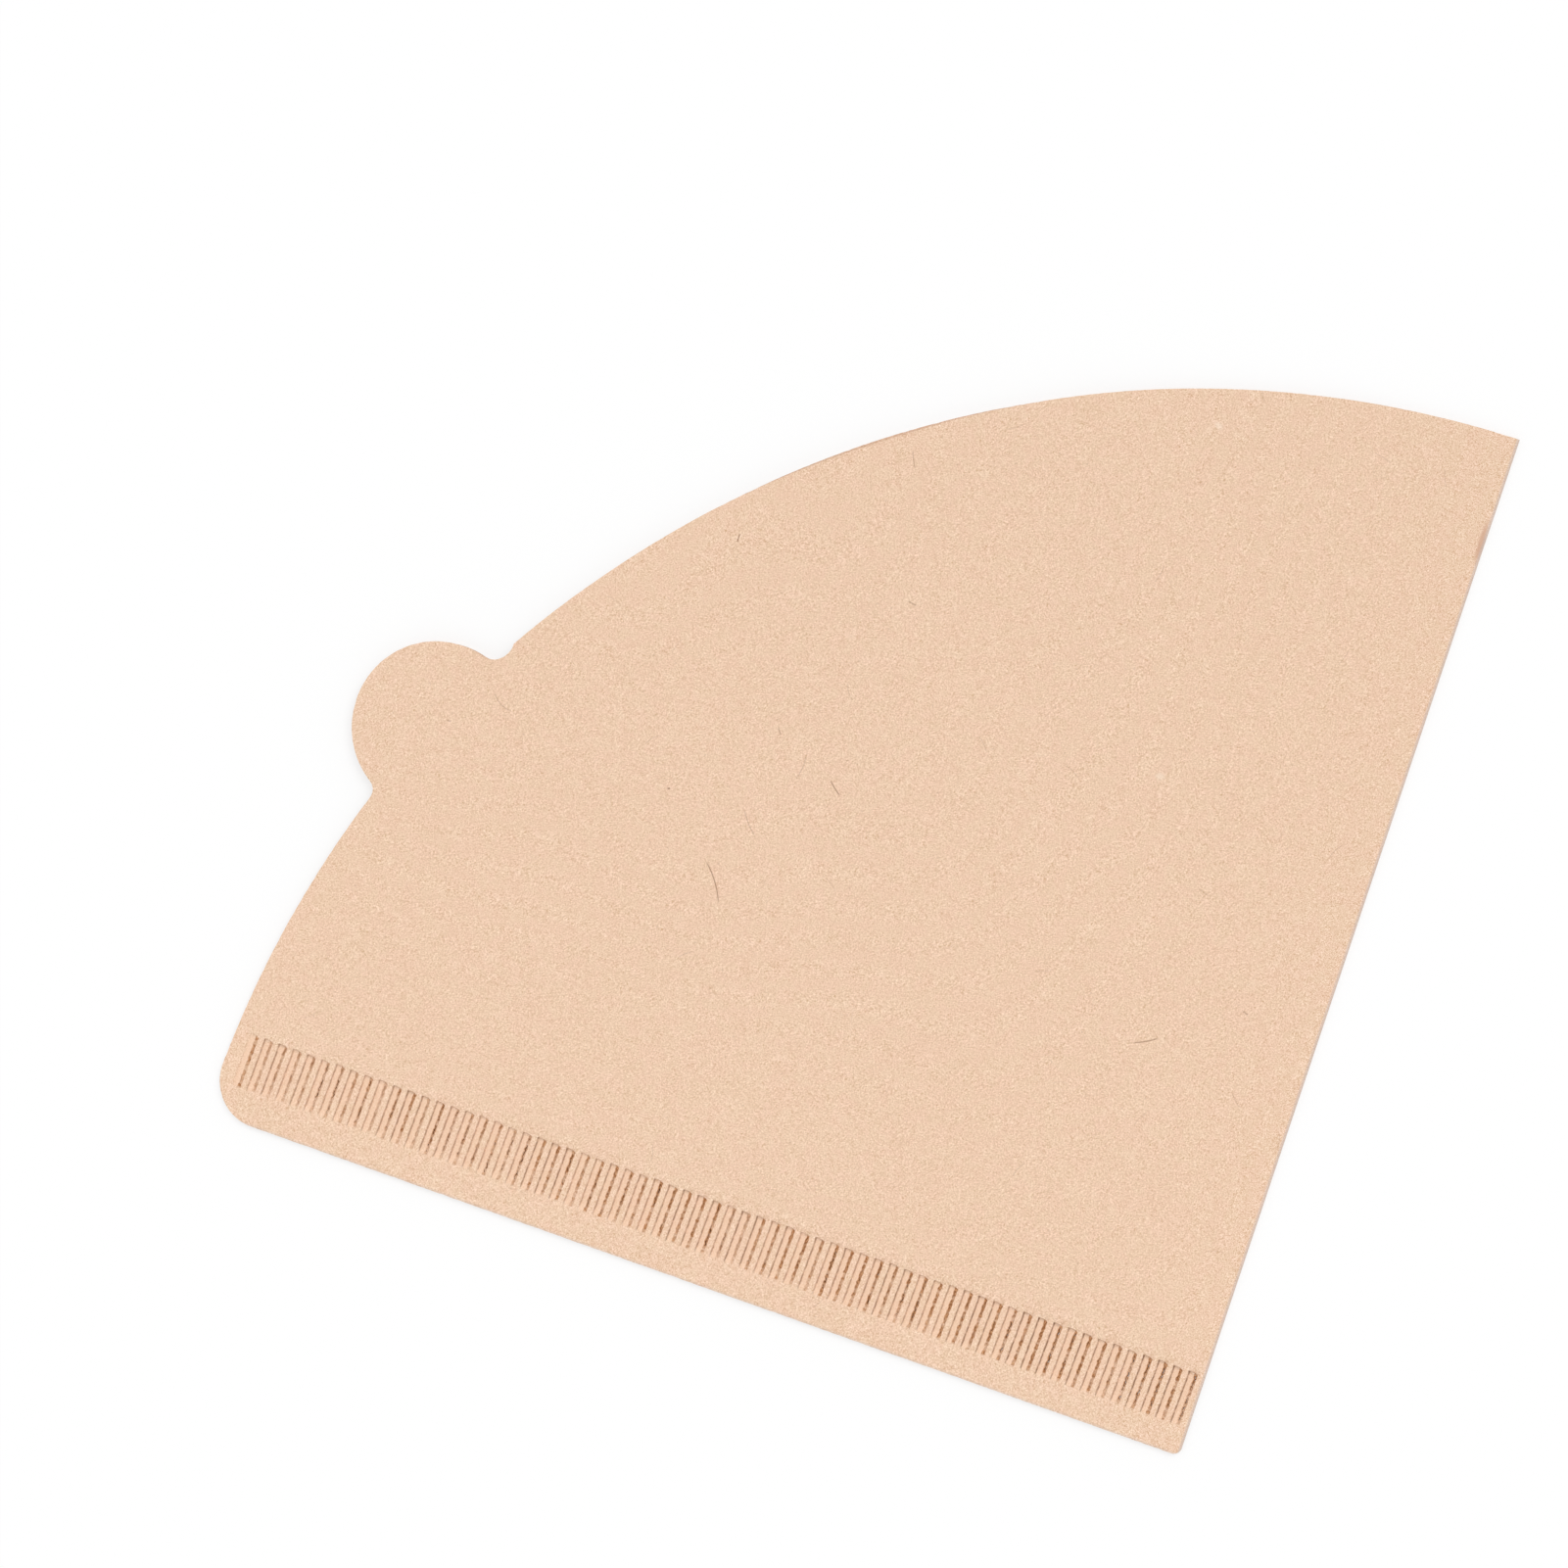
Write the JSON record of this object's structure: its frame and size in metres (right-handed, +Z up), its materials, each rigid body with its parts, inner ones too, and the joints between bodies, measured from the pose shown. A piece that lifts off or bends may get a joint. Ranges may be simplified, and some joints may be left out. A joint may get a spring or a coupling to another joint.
{
  "type": "paper coffee filter",
  "caption": "Cone coffee filter of unbleached paper, folded flat: a sheet with a crimped seam, a curved open rim and a round lifting tab.",
  "frame": {"origin": "under the middle of the folded sheet's outline, on the surface that it lies on", "axes": "+Z up through the plies, +Y along the fold from the apex to the rim, -X along the seam from the apex"},
  "size_m": [0.1168, 0.117, 0.002],
  "materials": {
    "paper": "matte"
  },
  "bodies": {
    "root": {"filter_paper": "paper"}
  },
  "joints": []
}
